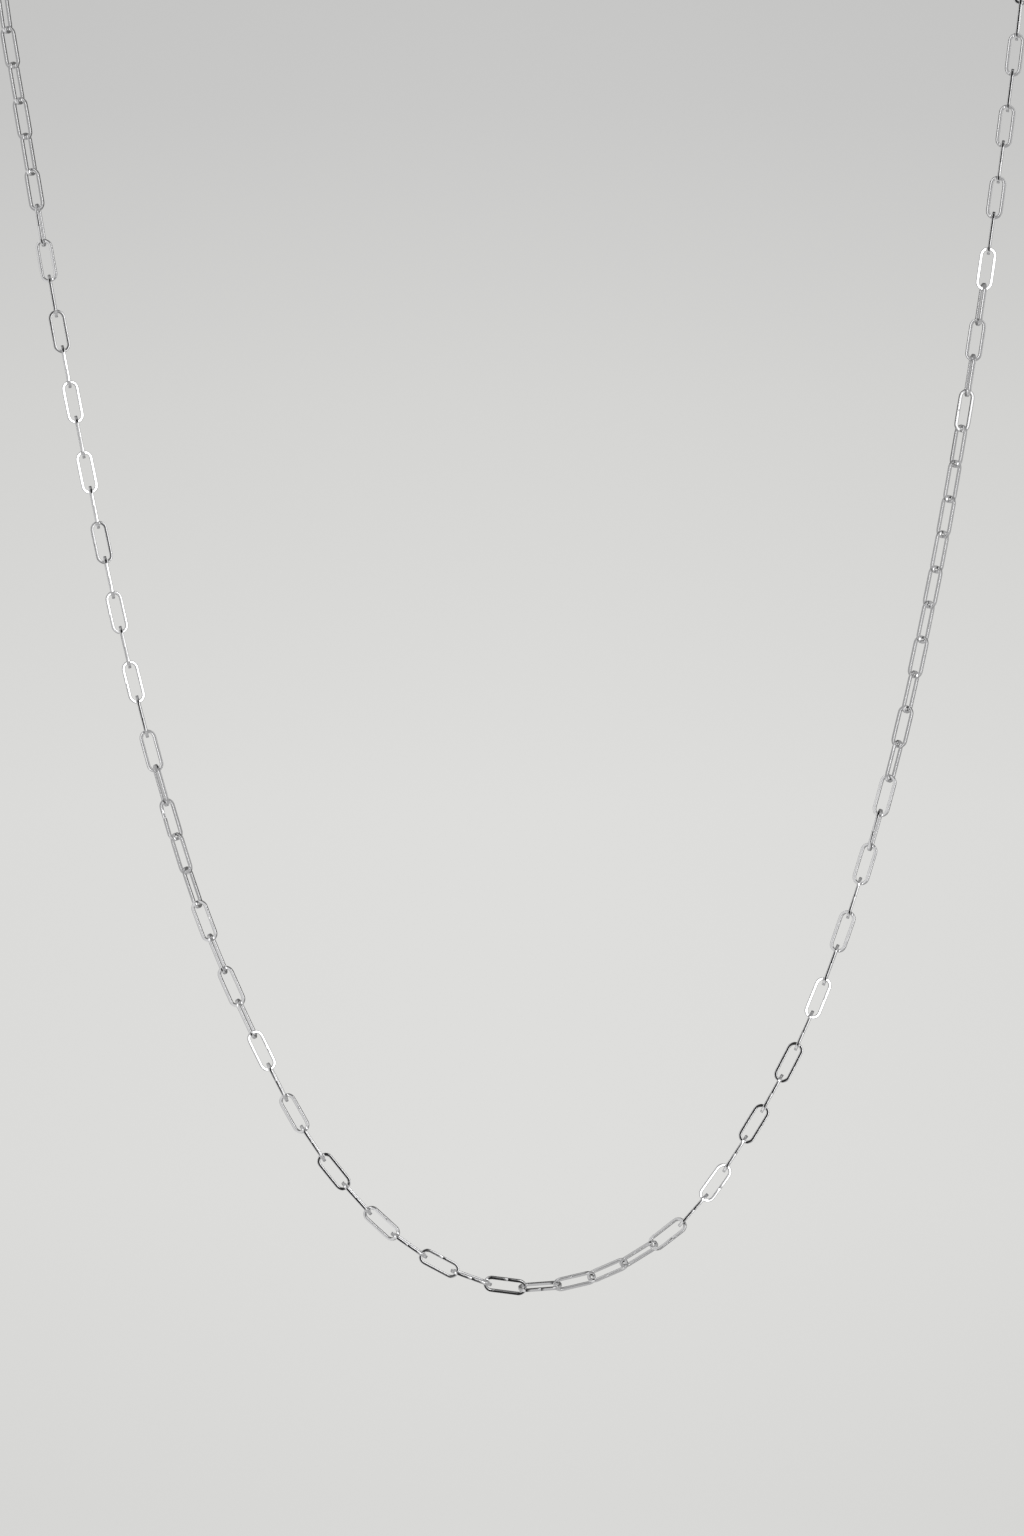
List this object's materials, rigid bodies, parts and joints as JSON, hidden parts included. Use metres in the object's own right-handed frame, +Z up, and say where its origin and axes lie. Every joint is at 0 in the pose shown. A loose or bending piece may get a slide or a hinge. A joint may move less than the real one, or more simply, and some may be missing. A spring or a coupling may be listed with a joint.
{
  "type": "paperclip chain necklace",
  "caption": "Fine neck chain of long, narrow interlocked links of square wire, each turned about a quarter turn from the next, closed at the nape by a plain spring ring",
  "frame": {"origin": "the middle of the clasp at the nape, where the necklace rests on the back of the neck", "axes": "X across the neck, towards the wearer's left; Y from the front of the necklace to the nape; Z up"},
  "size_m": [0.1157, 0.0818, 0.1719],
  "materials": {
    "silver": "polished sterling silver"
  },
  "bodies": {
    "root": {"chain_left": "silver", "chain_right": "silver", "clasp": "silver"}
  },
  "joints": []
}
